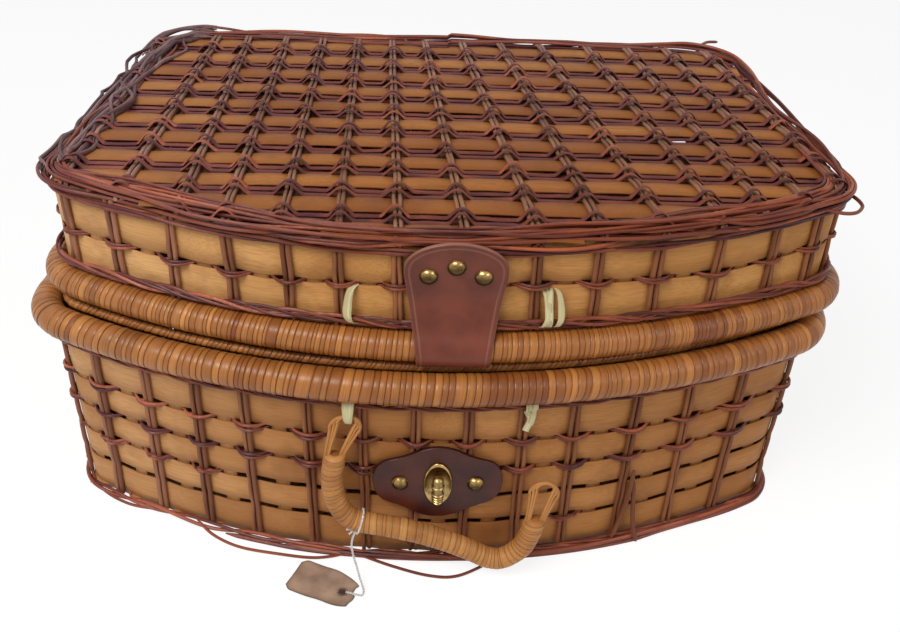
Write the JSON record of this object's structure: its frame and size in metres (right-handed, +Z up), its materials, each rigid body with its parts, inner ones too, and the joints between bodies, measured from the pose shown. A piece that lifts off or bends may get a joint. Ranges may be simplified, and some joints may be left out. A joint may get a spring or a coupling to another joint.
{
  "type": "wicker picnic basket",
  "caption": "Half-moon wicker picnic basket with wrapped cane rims, a hinged lid on cane loops, a leather strap, a turn button and a loose cane handle.",
  "frame": {"origin": "middle of the basket's width on the underside of its floor, 160 mm behind the middle of the front rim", "axes": "+X to the right seen from the front, +Y to the back where the hinge is, +Z up"},
  "size_m": [0.4913, 0.3495, 0.2295],
  "materials": {
    "splint": "varnished tan splint",
    "reed": "dark red-brown stained reed",
    "cane": "satin orange-tan wrapped cane",
    "leather": "smooth worn red-brown leather",
    "patch": "smooth dark red-brown leather",
    "brass": "aged brass",
    "raffia": "matt pale raffia",
    "string": "matt white string",
    "card": "matt buff card"
  },
  "bodies": {
    "bottom": {"floor_panel": "splint", "bottom_wall": "splint", "base_border": "reed", "bottom_waling": "reed", "bottom_rim": "cane", "bottom_inner_rim": "cane", "hinge_loop_left": "cane", "hinge_loop_middle": "cane", "hinge_loop_right": "cane", "lock_patch": "patch", "lock_plate": "brass", "lock_stud_left": "brass", "lock_stud_right": "brass", "handle_tie_left": "raffia", "handle_tie_right": "raffia"},
    "lid": {"lid_panel": "splint", "lid_border": "reed", "lid_wall": "splint", "lid_waling": "reed", "lid_rim": "cane", "strap": "leather", "strap_stud_left": "brass", "strap_stud_middle": "brass", "strap_stud_right": "brass", "lid_tie_left": "raffia", "lid_tie_right": "raffia"},
    "button": {"lock_button": "brass"},
    "handle": {"handle_grip": "cane", "handle_loop_left": "cane", "handle_loop_right": "cane", "tag_string": "string", "tag": "card"}
  },
  "joints": [
    {"name": "lid_hinge", "type": "hinge", "parent": "bottom", "child": "lid", "pos_m": [0, 0.14, 0.1588], "axis": [-1, 0, 0], "range_deg": [0, 120]},
    {"name": "button_twist", "type": "hinge", "parent": "bottom", "child": "button", "pos_m": [0.0048, -0.15936, 0.0655], "axis": [0, -1, 0], "range_deg": [0, 90]},
    {"name": "handle_swing", "type": "hinge", "parent": "bottom", "child": "handle", "pos_m": [-0.047, -0.15927, 0.116], "axis": [-1, 0, 0], "range_deg": [0, 120]}
  ]
}
